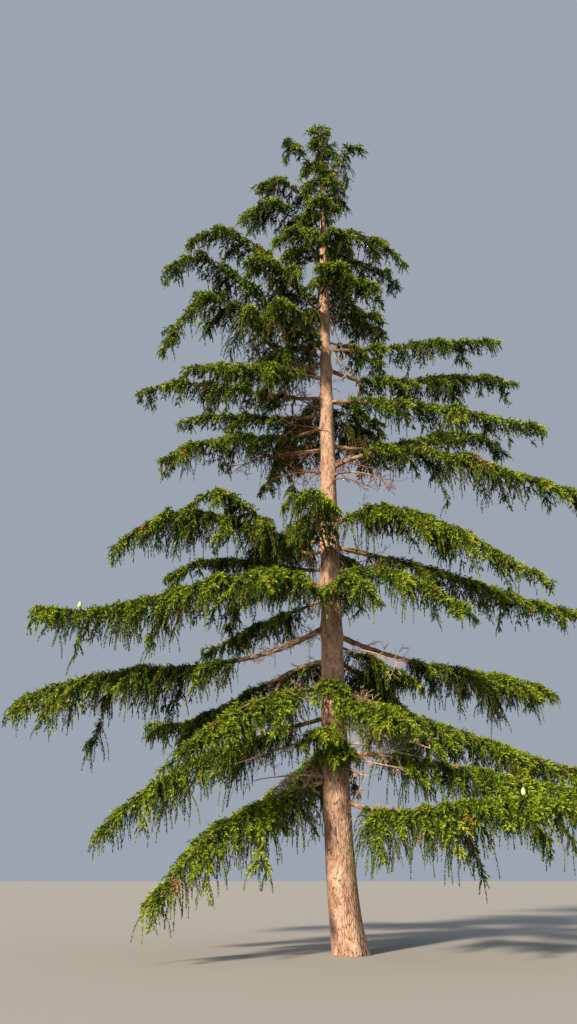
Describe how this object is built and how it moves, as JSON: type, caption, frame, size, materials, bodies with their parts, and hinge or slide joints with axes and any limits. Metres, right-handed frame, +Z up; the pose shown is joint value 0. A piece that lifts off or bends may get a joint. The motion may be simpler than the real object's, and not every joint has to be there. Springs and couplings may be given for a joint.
{
  "type": "deodar cedar tree",
  "caption": "Tall deodar cedar: one tapering trunk with level boughs that carry hanging sprays of needles, rooted at a flat cut at ground level.",
  "frame": {"origin": "middle of the flat cut under the trunk, at ground level", "axes": "+Z up the trunk, -Y towards the side that the picture shows, +X to its right"},
  "size_m": [14.6868, 10.118, 24.4515],
  "materials": {
    "bark": "rough, fissured grey-brown bark",
    "limb_bark": "finely scaled dark bark",
    "needles": "fresh yellow-green to blue-green needles, slightly waxy",
    "shaded_needles": "deep green needles, slightly waxy",
    "dead_twigs": "bare dry twigs, matt"
  },
  "bodies": {
    "root": {"bough_left_03": "limb_bark", "bough_left_04": "limb_bark", "bough_right_04": "limb_bark", "dead_twigs_left": "dead_twigs", "dead_twigs_right": "dead_twigs", "foliage_back_01": "shaded_needles", "foliage_back_02": "shaded_needles", "foliage_back_03": "shaded_needles", "foliage_back_04": "shaded_needles", "foliage_back_05": "shaded_needles", "foliage_back_06": "shaded_needles", "foliage_back_07": "shaded_needles", "foliage_back_08": "shaded_needles", "foliage_front_01": "needles", "foliage_front_02": "needles", "foliage_front_03": "needles", "foliage_front_04": "needles", "foliage_front_05": "needles", "foliage_front_06": "needles", "foliage_front_07": "needles", "foliage_front_08": "needles", "foliage_leader": "needles", "foliage_left_01": "needles", "foliage_left_02": "needles", "foliage_left_03": "needles", "foliage_left_04": "needles", "foliage_left_05": "needles", "foliage_left_06": "needles", "foliage_left_07": "needles", "foliage_left_08": "needles", "foliage_left_09": "needles", "foliage_left_10": "needles", "foliage_left_11": "needles", "foliage_left_12": "needles", "foliage_left_13": "needles", "foliage_left_14": "needles", "foliage_left_15": "needles", "foliage_left_16": "needles", "foliage_left_17": "needles", "foliage_left_18": "needles", "foliage_left_19": "needles", "foliage_left_20": "needles", "foliage_right_01": "needles", "foliage_right_02": "needles", "foliage_right_03": "needles", "foliage_right_04": "needles", "foliage_right_05": "needles", "foliage_right_06": "needles", "foliage_right_07": "needles", "foliage_right_08": "needles", "foliage_right_09": "needles", "foliage_right_10": "needles", "foliage_right_11": "needles", "foliage_right_12": "needles", "foliage_right_13": "needles", "foliage_right_14": "needles", "foliage_right_15": "needles", "foliage_right_16": "needles", "foliage_right_17": "needles", "trunk": "bark"}
  },
  "joints": []
}
